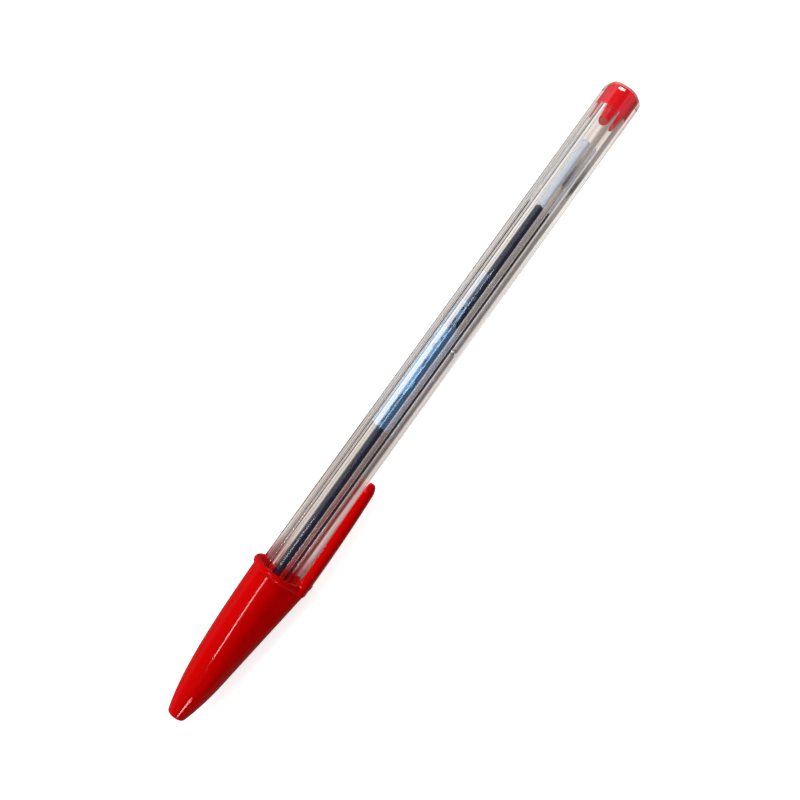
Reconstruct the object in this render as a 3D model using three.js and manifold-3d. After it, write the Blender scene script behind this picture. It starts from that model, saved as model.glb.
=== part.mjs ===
// Ballpoint pen with a clear hexagonal barrel and a push-on cap, in millimetres.
// X runs along the pen: its flat tail end is at x = 0 and the writing ball lies towards -X.
// The clip is on the -Y side, and two flats of the barrel face straight up and down.
import * as THREE from 'three';
import { mergeVertices } from 'three/addons/utils/BufferGeometryUtils.js';
import Module from 'manifold-3d';

// Clear barrel
const barrelLength = 127.3;
const barrelAcrossFlats = 7.2;
const barrelEdgeRadius = 0.35;
const boreRadius = 2.4;
const frontBevelLength = 3;
const frontBevelDepth = 0.75;
const tailEdgeRadius = 0.6;
const ventRadius = 0.6;
const ventFromTail = 61.5;
const ventFacetAngle = 150;

// Plug pressed into the tail of the barrel
const plugLength = 4.8;
const plugChamfer = 0.25;
const plugStemLength = 2.1;
const plugStemBaseRadius = 2.2;
const plugStemTipRadius = 1.79;
const plugStemEdge = 0.15;

// Ink tube and the ink in it
const tubeRadius = 1.55;
const tubeBoreRadius = 0.92;
const tubeToPlug = 5.6;
const emptyTubeLength = 15.45;
const meniscusDepth = 0.45;

// Tip holder: a tapered nose with a sleeve behind it that is pressed into the barrel
const noseLength = 12;
const noseFrontRadius = 1.4;
const noseCollarRadius = 2.95;
const noseCollarLength = 1.2;
const sleeveLength = 9.8;
const sleeveChamfer = 0.3;
const tubeSocketDepth = 6;
const holderChannelRadius = 0.7;

// Metal writing point with its ball socket
const pointConeLength = 5;
const pointLipRadius = 0.62;
const pointBaseRadius = 1.12;
const pointCollarLength = 0.6;
const shankRadius = 0.82;
const shankLength = 5;
const pointChannelRadius = 0.22;
const pointFeedRadius = 0.5;
const pointFeedDepth = 6.2;
const ballRadius = 0.5;
const ballStandOut = 0.33;

// Cap: an ogive shell with a keel on the clip side, a lip round its mouth and a clip
const capOverlap = 12.28;
const capTipRoom = 1.8;
const capEndWall = 2.5;
const capCavityEdge = 0.4;
const capSeatStart = 0.8;
const capSeatRamp = 1;
const capMouthWall = 0.97;
const capNoseWall = 0.85;
const capTaper = 0.009;
const ogiveDrop = 3.11;
const ogiveLength = 10.06;
const capTipEdge = 0.3;
const capVentRadius = 0.7;
const capVentFlare = 0.35;
const mouthFlare = 0.62;
const mouthFlareLength = 7;
const lipHeight = 0.52;
const lipWidth = 1.4;
const keelRise = 0.27;
const keelLength = 21.8;
const keelNoseRadius = 1.9;
const clipLength = 23.9;
const clipRootRadius = 6.87;
const clipEndDrop = 0.78;
const clipBow = 2.26;
const clipRidgeHeight = 0.13;
const clipRidgeWidth = 1.2;
const clipRidgeFromMouth = 0.6;
const clipRootWidth = 4;
const clipEndWidth = 3;
const clipOuterEdge = 1.2;
const clipInnerEdge = 0.3;
const clipOuterEdgeShare = 0.7;
const clipInnerEdgeShare = 0.2;
const clipGap = 0.25;
const clipEndRound = 2.2;
const clipEndOuterRound = 0.95;
const clipEndInnerRound = 0.25;
const clipEndNarrowing = 0.6;

// Clearances: between pressed pieces, at end stops, round the ball, round the ink and in the cap
const pressGap = 0.02;
const stopGap = 0.05;
const ballGap = 0.02;
const inkGap = 0.02;
const capFit = 0.06;

// How far a cutting solid runs past the face that it opens, and how deep a lip is sunk in its wall
const cutOverrun = 0.5;
const lipSink = 0.1;

// Facet counts
const roundSides = 40;
const smallSides = 32;
const ventSides = 20;
const ballSides = 24;
const ballRings = 16;
const arcSteps = 5;
const smallArcSteps = 3;
const socketSteps = 10;
const capSides = 60;
const capStations = 26;
const capStationBias = 1.4;
const lipSteps = 8;
const cavitySteps = 8;
const clipStations = 12;
const ridgeSteps = 6;

// Sizes and places that follow from the values above. A hexagon's corner lies at its half width
// over the cosine of half a side's angle.
const halfSide = Math.PI / 6;
const sharpCornerRadius = barrelAcrossFlats / 2 / Math.cos(halfSide);
const edgeInset = barrelEdgeRadius / Math.cos(halfSide);
const cornerRadius = sharpCornerRadius - edgeInset + barrelEdgeRadius;
const barrelFrontX = -barrelLength;
const noseBackX = barrelFrontX - stopGap;
const noseFrontX = noseBackX - noseLength;
const pointBaseX = noseFrontX - stopGap;
const pointLipX = pointBaseX - pointConeLength;
const ballTipX = pointLipX - ballStandOut;
const ballX = ballTipX + ballRadius;
const socketRadius = ballRadius + ballGap;
const socketBackX = ballX + Math.sqrt(socketRadius ** 2 - pointChannelRadius ** 2);
const sleeveEndX = barrelFrontX + sleeveLength;
const tubeFrontX = sleeveEndX - tubeSocketDepth;
const tubeBackX = -plugLength - plugStemLength - tubeToPlug;
const inkEndX = tubeBackX - emptyTubeLength;
const capMouthX = barrelFrontX + capOverlap;
const capCavityX = ballTipX - capTipRoom;
const capTipX = capCavityX - capEndWall;
const capLength = capMouthX - capTipX;
const capSeatRadius = cornerRadius + capFit;
const capMouthRadius = capSeatRadius + capMouthWall;
const capMouthInner = capSeatRadius + mouthFlare;
const clipEndX = capMouthX + clipLength;

const wasm = await Module();
wasm.setup();

// Turns a closed geometry into a solid that can be joined and cut.
function solidOf(geometry) {
  const bare = geometry.clone();
  bare.deleteAttribute('normal');
  bare.deleteAttribute('uv');
  const merged = mergeVertices(bare, 1e-5);
  const index = merged.index.array;
  const triangles = [];
  for (let i = 0; i < index.length; i += 3) {
    const [a, b, c] = [index[i], index[i + 1], index[i + 2]];
    if (a !== b && b !== c && c !== a) triangles.push(a, b, c);
  }
  return new wasm.Manifold(new wasm.Mesh({
    numProp: 3,
    vertProperties: new Float32Array(merged.attributes.position.array),
    triVerts: new Uint32Array(triangles),
  }));
}

// Turns a solid back into a geometry.
function geometryOf(solid) {
  const mesh = solid.getMesh();
  const geometry = new THREE.BufferGeometry();
  geometry.setAttribute('position', new THREE.BufferAttribute(new Float32Array(mesh.vertProperties), 3));
  geometry.setIndex(new THREE.BufferAttribute(new Uint32Array(mesh.triVerts), 1));
  geometry.computeVertexNormals();
  return geometry;
}

// Revolves an outline of [x, radius] points about the X axis. It starts and ends on the axis,
// or returns to its first point, and runs towards +X along its outer side.
function revolve(outline, sides = roundSides) {
  const profile = outline.map(([x, radius]) => new THREE.Vector2(radius, x));
  return new THREE.LatheGeometry(profile, sides).rotateZ(-Math.PI / 2);
}

// Points of an arc in an outline, from one angle to another in degrees: 0 is +X, 90 is outwards.
function arc(x, radius, size, from, to, steps = arcSteps) {
  return Array.from({ length: steps + 1 }, (_, i) => {
    const angle = THREE.MathUtils.degToRad(from + (to - from) * i / steps);
    return [x + size * Math.cos(angle), radius + size * Math.sin(angle)];
  });
}

// Joins rings of [x, y, z] points, each with the same count, into a closed body running towards +X.
function loft(rings) {
  const count = rings[0].length;
  const points = rings.flat();
  const index = [];
  for (let r = 0; r + 1 < rings.length; r++) {
    for (let i = 0; i < count; i++) {
      const a = r * count + i;
      const b = r * count + (i + 1) % count;
      index.push(a, b, a + count, b, b + count, a + count);
    }
  }
  [0, rings.length - 1].forEach((r, end) => {
    const hub = points.length;
    const sum = rings[r].reduce((s, p) => [s[0] + p[0], s[1] + p[1], s[2] + p[2]], [0, 0, 0]);
    points.push(sum.map((v) => v / count));
    for (let i = 0; i < count; i++) {
      const a = r * count + i;
      const b = r * count + (i + 1) % count;
      index.push(...(end ? [hub, a, b] : [hub, b, a]));
    }
  });
  const geometry = new THREE.BufferGeometry();
  geometry.setAttribute('position', new THREE.Float32BufferAttribute(points.flat(), 3));
  geometry.setIndex(index);
  return geometry;
}

// Evenly stepped values from 0 to 1.
function steps(count) {
  return Array.from({ length: count + 1 }, (_, i) => i / count);
}

// Value at x on the straight line through two [x, value] points.
function lineAt(x, [x0, v0], [x1, v1]) {
  return v0 + (v1 - v0) * (x - x0) / (x1 - x0);
}

// Hexagonal prism with rounded edges, corners towards +Y and -Y.
function hexPrism() {
  const shape = new THREE.Shape();
  for (let i = 0; i < 6; i++) {
    const middle = 2 * halfSide * i;
    const cx = (sharpCornerRadius - edgeInset) * Math.cos(middle);
    const cy = (sharpCornerRadius - edgeInset) * Math.sin(middle);
    shape.absarc(cx, cy, barrelEdgeRadius, middle - halfSide, middle + halfSide, false);
  }
  const prism = new THREE.ExtrudeGeometry(shape, {
    depth: barrelLength, bevelEnabled: false, curveSegments: arcSteps,
  });
  // The shape's X becomes Y, its Y becomes Z, and the extrusion runs from the front towards +X.
  const turn = new THREE.Matrix4().makeBasis(
    new THREE.Vector3(0, 1, 0), new THREE.Vector3(0, 0, 1), new THREE.Vector3(1, 0, 0),
  );
  return prism.applyMatrix4(turn).translate(barrelFrontX, 0, 0);
}

// Barrel: hexagonal outside, round bore, bevelled front, rounded tail edge and a vent in one flat.
function barrelGeometry() {
  const outer = cornerRadius + frontBevelDepth;
  const envelope = revolve([
    [barrelFrontX, 0],
    [barrelFrontX, cornerRadius - frontBevelDepth],
    [barrelFrontX + frontBevelLength, cornerRadius],
    [barrelFrontX + frontBevelLength * 2, outer],
    [-tailEdgeRadius * 2, outer],
    ...arc(-tailEdgeRadius, cornerRadius - tailEdgeRadius, tailEdgeRadius, 90, 0),
    [0, 0],
  ], capSides);
  const bore = revolve([
    [barrelFrontX - cutOverrun, 0],
    [barrelFrontX - cutOverrun, boreRadius],
    [cutOverrun, boreRadius],
    [cutOverrun, 0],
  ]);
  const vent = new THREE.CylinderGeometry(ventRadius, ventRadius, cornerRadius, ventSides)
    .translate(0, boreRadius / 2 + cornerRadius / 2, 0)
    .rotateX(THREE.MathUtils.degToRad(ventFacetAngle))
    .translate(-ventFromTail, 0, 0);
  const shell = solidOf(hexPrism()).intersect(solidOf(envelope));
  return geometryOf(shell.subtract(solidOf(bore)).subtract(solidOf(vent)));
}

// Plug: a pressed disc flush with the tail and a tapered stem pointing into the barrel.
function plugGeometry() {
  const radius = boreRadius - pressGap;
  const shoulderX = -plugLength;
  const stemX = shoulderX - plugStemLength;
  return revolve([
    [stemX, 0],
    ...arc(stemX + plugStemEdge, plugStemTipRadius - plugStemEdge, plugStemEdge, 180, 90, smallArcSteps),
    [shoulderX, plugStemBaseRadius],
    [shoulderX, radius - plugChamfer],
    [shoulderX + plugChamfer, radius],
    [0, radius],
    [0, 0],
  ]);
}

// Ink tube: open at both ends.
function tubeGeometry() {
  return revolve([
    [tubeFrontX + stopGap, tubeBoreRadius],
    [tubeFrontX + stopGap, tubeRadius],
    [tubeBackX, tubeRadius],
    [tubeBackX, tubeBoreRadius],
    [tubeFrontX + stopGap, tubeBoreRadius],
  ]);
}

// Ink: one column from the ball's socket through the point and the holder into the tube.
function inkGeometry() {
  const channel = pointChannelRadius - inkGap;
  const feed = pointFeedRadius - inkGap;
  const holder = holderChannelRadius - inkGap;
  const column = tubeBoreRadius - inkGap;
  const feedX = pointLipX + pointFeedDepth + stopGap;
  const holderX = pointBaseX + shankLength + 2 * stopGap;
  return revolve([
    [socketBackX + stopGap, 0],
    [socketBackX + stopGap, channel],
    [feedX, channel],
    [feedX, feed],
    [holderX, feed],
    [holderX, holder],
    [tubeFrontX + 2 * stopGap, holder],
    [tubeFrontX + 2 * stopGap, column],
    [inkEndX - meniscusDepth, column],
    ...arc(inkEndX - meniscusDepth, column - meniscusDepth, meniscusDepth, 90, 0),
    [inkEndX, 0],
  ]);
}

// Tip holder: tapered nose, collar against the barrel, sleeve in its bore, socket for the ink tube.
function holderGeometry() {
  const sleeve = boreRadius - pressGap;
  const shankBore = shankRadius + pressGap;
  const shankEndX = pointBaseX + shankLength + stopGap;
  const socket = tubeRadius + pressGap;
  return revolve([
    [noseFrontX, shankBore],
    [noseFrontX, noseFrontRadius],
    [noseBackX - noseCollarLength, noseCollarRadius],
    [noseBackX, noseCollarRadius],
    [noseBackX, sleeve],
    [sleeveEndX - sleeveChamfer, sleeve],
    [sleeveEndX, sleeve - sleeveChamfer],
    [sleeveEndX, socket],
    [tubeFrontX, socket],
    [tubeFrontX, holderChannelRadius],
    [shankEndX, holderChannelRadius],
    [shankEndX, shankBore],
    [noseFrontX, shankBore],
  ]);
}

// Writing point: cone, collar and shank round a ball socket, a narrow channel and a wider feed.
function pointGeometry() {
  const lip = Math.sqrt(socketRadius ** 2 - (ballX - pointLipX) ** 2);
  const lipAngle = THREE.MathUtils.radToDeg(Math.atan2(lip, pointLipX - ballX));
  const backAngle = THREE.MathUtils.radToDeg(Math.asin(pointChannelRadius / socketRadius));
  const collarX = pointBaseX - pointCollarLength;
  return revolve([
    [pointLipX, pointLipRadius],
    [collarX, pointBaseRadius],
    [pointBaseX, pointBaseRadius],
    [pointBaseX, shankRadius],
    [pointBaseX + shankLength, shankRadius],
    [pointBaseX + shankLength, pointFeedRadius],
    [pointLipX + pointFeedDepth, pointFeedRadius],
    [pointLipX + pointFeedDepth, pointChannelRadius],
    ...arc(ballX, 0, socketRadius, backAngle, lipAngle, socketSteps),
    [pointLipX, pointLipRadius],
  ], smallSides);
}

// Outer radius of the cap's round body at a distance from its tip.
function capRadius(fromTip) {
  return capMouthRadius - capTaper * (capLength - fromTip) - ogiveDrop * Math.exp(-fromTip / ogiveLength);
}

// Reach of the body on the clip side: a little fuller than its round outline from the tip on, then
// in a straight line up to the clip's root where the keel stands out.
function keelReach(fromTip) {
  const start = capLength - keelLength;
  if (fromTip < start) return capRadius(fromTip) + keelRise;
  return lineAt(fromTip, [start, capRadius(start) + keelRise], [capLength, clipRootRadius]);
}

// Radius of the keel's crest, which narrows from the body's own round towards the clip's root.
function keelNose(fromTip) {
  const start = capLength - keelLength;
  if (fromTip < start) return capRadius(fromTip);
  return lineAt(fromTip, [start, capRadius(start)], [capLength, keelNoseRadius]);
}

// Ring round the X axis: a circle joined by tangents to the smaller round of a keel towards -Y.
function keelRing(x, radius, reach, noseRadius) {
  const nose = Math.min(noseRadius, radius);
  const offset = reach - nose;
  return Array.from({ length: capSides }, (_, i) => {
    const angle = (i + 0.5) * 2 * Math.PI / capSides;
    const [c, s] = [Math.cos(angle), Math.sin(angle)];
    const onKeel = offset * -c + nose > radius;
    return onKeel ? [x, -offset + nose * c, nose * s] : [x, radius * c, radius * s];
  });
}

// Cap body from its rounded tip to the mouth, without its cavity.
function capBody() {
  const tip = steps(arcSteps).map((t) => {
    const angle = t * Math.PI / 2;
    const x = capTipEdge * (1 - Math.sin(angle));
    return [x, capRadius(x) - capTipEdge * (1 - Math.cos(angle))];
  }).reverse();
  const rest = steps(capStations).slice(1).map((t) => {
    const x = capTipEdge + (capLength - capTipEdge) * t ** capStationBias;
    return [x, capRadius(x)];
  });
  return loft([...tip, ...rest].map(([x, radius]) => {
    const reach = radius + keelReach(x) - capRadius(x);
    return keelRing(capTipX + x, radius, reach, keelNose(x));
  }));
}

// Rounded lip that runs round the mouth and dies away in the keel.
function capLip() {
  const middle = capLength - lipWidth / 2;
  return loft(steps(lipSteps).map((t) => {
    const angle = (t - 0.5) * Math.PI;
    const x = middle + lipWidth / 2 * Math.sin(angle);
    const rise = Math.cos(angle);
    const radius = capRadius(x) - lipSink + (lipHeight + lipSink) * rise;
    return keelRing(capTipX + x, radius, keelReach(x) - lipSink, keelNose(x));
  }));
}

// Ring of a clip section: a rectangle with large outer and small inner corner rounds, which take
// no more than their share of its thickness and half width.
function clipRing(x, inner, outer, width) {
  const half = width / 2;
  const room = Math.min(half, outer - inner);
  const big = Math.min(clipOuterEdge, room * clipOuterEdgeShare);
  const small = Math.min(clipInnerEdge, room * clipInnerEdgeShare);
  const corners = [
    [-inner - small, half - small, small, 0],
    [-outer + big, half - big, big, 90],
    [-outer + big, -half + big, big, 180],
    [-inner - small, -half + small, small, 270],
  ];
  return corners.flatMap(([y, z, size, from]) => arc(y, z, size, from, from + 90).map((p) => [x, ...p]));
}

// Clip: a tapering tongue along the barrel with a low ridge across its root and a rounded end.
function capClip() {
  const length = clipEndX - capMouthX;
  const ridgeEnd = clipRidgeFromMouth + clipRidgeWidth / 2;
  const ridge = steps(ridgeSteps).map((t) => ridgeEnd - clipRidgeWidth * (1 + Math.cos(t * Math.PI)) / 2);
  const straight = steps(clipStations).slice(1).map((t) => ridgeEnd + (length - clipEndRound - ridgeEnd) * t);
  const rounded = steps(arcSteps).slice(1)
    .map((t) => length - clipEndRound * (1 - Math.sin(t * Math.PI / 2)));
  return loft([-lipWidth, ...ridge, ...straight, ...rounded].map((d) => {
    const t = Math.max(0, d) / length;
    const turn = Math.max(0, (d - length + clipEndRound) / clipEndRound);
    const close = 1 - Math.sqrt(Math.max(0, 1 - turn ** 2));
    const across = Math.min(1, Math.abs(d - clipRidgeFromMouth) / (clipRidgeWidth / 2));
    const rise = clipRidgeHeight * Math.sqrt(1 - across ** 2);
    const inner = lineAt(t, [0, capMouthInner], [1, cornerRadius + clipGap]) + clipEndInnerRound * close;
    const outer = clipRootRadius - clipEndDrop * t ** clipBow - clipEndOuterRound * close + rise;
    const width = lineAt(t, [0, clipRootWidth], [1, clipEndWidth]) * (1 - clipEndNarrowing * close);
    return clipRing(capMouthX + d, inner, outer, width + 2 * rise);
  }));
}

// Space inside the cap: round the nose, then the seat that grips the barrel, then the flared mouth.
function capCavity() {
  const seatX = barrelFrontX + capSeatStart;
  const wallAt = (x) => capRadius(x - capTipX) - capNoseWall;
  const first = capCavityX + capCavityEdge;
  const noseSide = steps(cavitySteps).map((t) => first + (seatX - first) * t).map((x) => [x, wallAt(x)]);
  return revolve([
    [capCavityX, 0],
    [capCavityX, wallAt(first) - capCavityEdge],
    ...noseSide,
    [seatX + capSeatRamp, capSeatRadius],
    [capMouthX - mouthFlareLength, capSeatRadius],
    [capMouthX - lipWidth / 2, capMouthInner],
    [capMouthX + cutOverrun, capMouthInner],
    [capMouthX + cutOverrun, 0],
  ], capSides);
}

// Air vent through the cap's tip, flared on the outside.
function capVent() {
  return revolve([
    [capTipX - cutOverrun, 0],
    [capTipX - cutOverrun, capVentRadius + capVentFlare],
    [capTipX, capVentRadius + capVentFlare],
    [capTipX + capVentFlare, capVentRadius],
    [capCavityX + cutOverrun, capVentRadius],
    [capCavityX + cutOverrun, 0],
  ], smallSides);
}

function capGeometry() {
  const outside = solidOf(capBody()).add(solidOf(capLip())).add(solidOf(capClip()));
  return geometryOf(outside.subtract(solidOf(capCavity())).subtract(solidOf(capVent())));
}

// Materials
const plastic = (color, roughness) => new THREE.MeshStandardMaterial({ color, roughness, metalness: 0 });
const metal = (color, roughness) => new THREE.MeshStandardMaterial({ color, roughness, metalness: 1 });

const redPlastic = plastic(0xd00808, 0.25);
const clearPlastic = plastic(0xe6e0da, 0.08);
clearPlastic.transparent = true;
clearPlastic.opacity = 0.3;
const tubePlastic = plastic(0xd8dde4, 0.35);
const holderPlastic = plastic(0xe9e8e2, 0.4);
const darkInk = plastic(0x10182c, 0.3);
const brass = metal(0xc9a45c, 0.3);
const ballMetal = metal(0xb8bcc2, 0.15);

function piece(name, geometry, material) {
  const mesh = new THREE.Mesh(geometry, material);
  mesh.name = name;
  return mesh;
}

const pen = new THREE.Group();
pen.add(piece('barrel', barrelGeometry(), clearPlastic));
pen.add(piece('end_plug', plugGeometry(), redPlastic));
pen.add(piece('refill_tube', tubeGeometry(), tubePlastic));
pen.add(piece('ink_column', inkGeometry(), darkInk));
pen.add(piece('tip_holder', holderGeometry(), holderPlastic));
pen.add(piece('writing_point', pointGeometry(), brass));
pen.add(piece('cap', capGeometry(), redPlastic));

const ball = piece('writing_ball', new THREE.SphereGeometry(ballRadius, ballSides, ballRings), ballMetal);
ball.position.set(ballX, 0, 0);
pen.add(ball);

export default pen;
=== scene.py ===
import math

import bmesh
import bpy
import numpy as np
from mathutils import Matrix, Vector

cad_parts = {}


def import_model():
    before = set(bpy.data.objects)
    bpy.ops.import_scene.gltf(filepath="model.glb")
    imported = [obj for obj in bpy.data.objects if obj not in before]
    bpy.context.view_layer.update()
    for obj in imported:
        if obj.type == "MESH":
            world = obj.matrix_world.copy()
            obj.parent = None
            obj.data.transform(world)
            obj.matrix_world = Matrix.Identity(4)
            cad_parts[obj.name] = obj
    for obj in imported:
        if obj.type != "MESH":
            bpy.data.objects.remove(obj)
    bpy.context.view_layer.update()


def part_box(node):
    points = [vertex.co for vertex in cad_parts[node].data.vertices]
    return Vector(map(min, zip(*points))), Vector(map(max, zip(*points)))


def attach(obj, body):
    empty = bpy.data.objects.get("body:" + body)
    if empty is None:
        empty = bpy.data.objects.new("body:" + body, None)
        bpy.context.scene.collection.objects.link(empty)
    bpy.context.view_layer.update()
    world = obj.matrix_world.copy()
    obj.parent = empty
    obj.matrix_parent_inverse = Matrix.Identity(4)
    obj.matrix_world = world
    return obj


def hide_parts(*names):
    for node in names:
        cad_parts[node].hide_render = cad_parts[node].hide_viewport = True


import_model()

MM = 0.001


def span(node):
    """Lowest and highest corner of a CAD node in millimetres."""
    low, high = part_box(node)
    return low / MM, high / MM


# Gaps and edges that many pieces share
PRESS_GAP = 0.02
STOP_GAP = 0.05
WETTING = 0.01
KEEN_EDGE = 0.03
CRISP_EDGE = 0.04
FINE_EDGE = 0.05
SMALL_EDGE = 0.06
SOFT_EDGE = 0.08

# Barrel, read from its node, and the sizes that a box can't show
barrel_low, barrel_high = span("barrel")
BARREL_FRONT = barrel_low.x
CORNER_RADIUS = barrel_high.y
HALF_FLATS = barrel_high.z
EDGE_RADIUS = 0.35
EDGE_HALF_ANGLE = math.radians(2.47)
SECTOR = math.radians(60)
END_SHAVE = 0.03
FRONT_BEVEL_LENGTH = 3.0
FRONT_BEVEL_DEPTH = 0.75
TAIL_EDGE_RADIUS = 0.6
VENT_RADIUS = 0.6
VENT_X = -61.5
VENT_ANGLE = math.radians(150)

# Plug
plug_low, plug_high = span("end_plug")
PLUG_RADIUS = plug_high.y
BORE_RADIUS = PLUG_RADIUS + PRESS_GAP
PLUG_LENGTH = 4.8
PLUG_CHAMFER = 0.25
STEM_BASE_RADIUS = 2.2
STEM_TIP_RADIUS = 1.79
STEM_EDGE = 0.15

# Ink tube and ink
tube_low, tube_high = span("refill_tube")
ink_low, ink_high = span("ink_column")
TUBE_RADIUS = tube_high.y
TUBE_BORE_RADIUS = 0.92
TUBE_EDGE = 0.06
TUBE_LEAN = 0.4
MENISCUS = 0.45

# Tip holder and writing point
holder_low, holder_high = span("tip_holder")
point_low, point_high = span("writing_point")
ball_low, ball_high = span("writing_ball")
SLEEVE_RADIUS = BORE_RADIUS - PRESS_GAP
NOSE_FRONT_RADIUS = 1.4
NOSE_COLLAR_RADIUS = holder_high.y
NOSE_COLLAR_LENGTH = 1.2
NOSE_COLLAR_EDGE = 0.2
NOSE_FRONT_EDGE = 0.12
NOSE_BACK = BARREL_FRONT - STOP_GAP
HOLDER_CHANNEL_RADIUS = 0.7
SLEEVE_CHAMFER = 0.3
POINT_LIP_RADIUS = 0.62
POINT_BASE_RADIUS = point_high.y
POINT_COLLAR_LENGTH = 0.6
POINT_GROOVE_START = 0.5
POINT_GROOVE_END = 0.15
POINT_GROOVE_DEPTH = 0.12
POINT_GROOVE_ROUND = 0.2
SHANK_LENGTH = 5.0
SHANK_RADIUS = 0.82
FEED_RADIUS = 0.5
FEED_DEPTH = 6.2
CHANNEL_RADIUS = 0.22
BALL_RADIUS = (ball_high.y - ball_low.y) / 2
BALL_X = (ball_high.x + ball_low.x) / 2
SOCKET_RADIUS = BALL_RADIUS + PRESS_GAP

# Cap
cap_low, cap_high = span("cap")
CAP_TIP = cap_low.x
CLIP_END = cap_high.x
CLIP_LENGTH = 23.9
CAP_MOUTH = CLIP_END - CLIP_LENGTH
CAP_LENGTH = CAP_MOUTH - CAP_TIP
CAP_END_WALL = 2.5
CAP_CAVITY_EDGE = 0.4
CAP_FIT_GAP = 0.06
CAP_SEAT_RADIUS = CORNER_RADIUS + CAP_FIT_GAP
CAP_SEAT_START = 0.8
CAP_SEAT_RAMP = 1.0
CAP_MOUTH_FLARE = 0.62
CAP_MOUTH_WALL = 0.35
CAP_MOUTH_INNER = CAP_SEAT_RADIUS + CAP_MOUTH_FLARE
CAP_MOUTH_RADIUS = CAP_MOUTH_INNER + CAP_MOUTH_WALL
CAP_NOSE_WALL = 0.85
CAP_TAPER = 0.009
OGIVE_DROP = 3.11
OGIVE_LENGTH = 10.06
CAP_TIP_EDGE = 0.3
CAP_VENT_RADIUS = 0.7
CAP_VENT_FLARE = 0.35
CAP_VENT_EDGE = 0.1
MOUTH_FLARE_LENGTH = 7.0
MOUTH_EDGE = 0.1
LIP_HEIGHT = 0.512
LIP_WIDTH = 1.4
LIP_FOOT = 0.35
LIP_FALL = 4
LIP_BLEND = 0.13
KEEL_RISE = 0.27
KEEL_LENGTH = 21.8
KEEL_NOSE_RADIUS = 1.9
CLIP_ROOT_RADIUS = 6.87
CLIP_END_DROP = 0.78
CLIP_BOW = 2.26
CLIP_RIDGE_HEIGHT = 0.13
CLIP_RIDGE_WIDTH = 1.2
CLIP_RIDGE_FROM_MOUTH = 0.6
CLIP_ROOT_WIDTH = 4.0
CLIP_END_WIDTH = 3.0
CLIP_OUTER_EDGE = 1.2
CLIP_INNER_EDGE = 0.3
CLIP_OUTER_EDGE_SHARE = 0.7
CLIP_INNER_EDGE_SHARE = 0.2
CLIP_GAP = 0.12
CLIP_END_ROUND = 2.2
CLIP_END_OUTER_ROUND = 0.95
CLIP_END_INNER_ROUND = 0.25
CLIP_END_NARROWING = 0.6
JOIN_OVERLAP = 0.02

# Fineness of the meshes
SIDES = 96
CAP_SIDES = 160
SMALL_SIDES = 64
DRILL_SIDES = 48
ARC_STEPS = 8
BEVEL_RINGS = 25
VENT_RINGS = 21
PLAIN_RINGS = 8
TAIL_RINGS = 9
TAIL_ROUND_RINGS = 19
VENT_REACH = 1
RING_STEP = 2
SOCKET_POINTS = 24
BALL_POINTS = 33
KEEL_SAMPLES = 721
TIP_RINGS = 13
BODY_RINGS = 90
LIP_FOOT_RINGS = 8
LIP_RINGS = 37
NOSE_RINGS = 16
CLIP_RIDGE_RINGS = 24
CLIP_RINGS = 60
CLIP_END_RINGS = 20
HOLD = 0.03
EDGE_HOLD = math.radians(0.5)
FLAT_MARGIN = math.radians(1.5)
FLAT_STEP = math.radians(2.5)
CLIP_SIDE_STEPS = (0.08, 0.36, 0.64, 0.92)
END_FACE_STEP = 0.1
MOUTH_FACE_STEP = 0.02
SHARP = math.radians(32)


# Mesh building

def fillet_line(corners, closed=False):
    """Outline through [x, radius, fillet] corners. Each fillet is an arc, held by a short
    straight stretch at both ends so that the faces beside it shade flat."""
    line = []
    count = len(corners)
    for i, (x, radius, fillet) in enumerate(corners):
        p = np.array((x, radius))
        if fillet == 0 or (not closed and i in (0, count - 1)):
            line.append(tuple(p))
            continue
        before = np.array(corners[i - 1][:2]) - p
        after = np.array(corners[(i + 1) % count][:2]) - p
        before /= np.linalg.norm(before)
        after /= np.linalg.norm(after)
        half = math.acos(np.clip(before @ after, -1, 1)) / 2
        reach = fillet / math.tan(half)
        middle = before + after
        centre = p + middle / np.linalg.norm(middle) * fillet / math.sin(half)
        start = p + before * reach - centre
        end = p + after * reach - centre
        turn = math.atan2(start[0] * end[1] - start[1] * end[0], start @ end)
        line.append(tuple(p + before * (reach + HOLD)))
        for step in range(ARC_STEPS + 1):
            a = turn * step / ARC_STEPS
            line.append((centre[0] + start[0] * math.cos(a) - start[1] * math.sin(a),
                         centre[1] + start[0] * math.sin(a) + start[1] * math.cos(a)))
        line.append(tuple(p + after * (reach + HOLD)))
    return line


def circle(x, radius, count):
    """Ring of points round the X axis that starts on the +Y side."""
    return [(x, radius * math.cos(a), radius * math.sin(a))
            for a in (2 * math.pi * i / count for i in range(count))]


def skin(rings, closed=False):
    """Points and faces that join rings of equal count. A ring of one point is a pole."""
    points = [p for ring in rings for p in ring]
    starts = np.cumsum([0] + [len(ring) for ring in rings])
    faces = []
    pairs = list(range(len(rings) - 1)) + ([len(rings) - 1] if closed else [])
    for r in pairs:
        s = (r + 1) % len(rings)
        a, b = int(starts[r]), int(starts[s])
        n, m = len(rings[r]), len(rings[s])
        for i in range(max(n, m)):
            j = (i + 1) % max(n, m)
            if n == 1:
                faces.append((a, b + j, b + i))
            elif m == 1:
                faces.append((a + i, a + j, b))
            else:
                faces.append((a + i, a + j, b + j, b + i))
    return points, faces


def piece(name, points, faces):
    """Mesh object in metres, smooth apart from its sharp edges, with its faces pointing out."""
    mesh = bpy.data.meshes.new(name)
    mesh.from_pydata([tuple(float(v) * MM for v in p) for p in points], [], faces)
    form = bmesh.new()
    form.from_mesh(mesh)
    bmesh.ops.recalc_face_normals(form, faces=form.faces)
    form.to_mesh(mesh)
    form.free()
    obj = bpy.data.objects.new(name, mesh)
    bpy.context.scene.collection.objects.link(obj)
    smooth(obj)
    return obj


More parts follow.
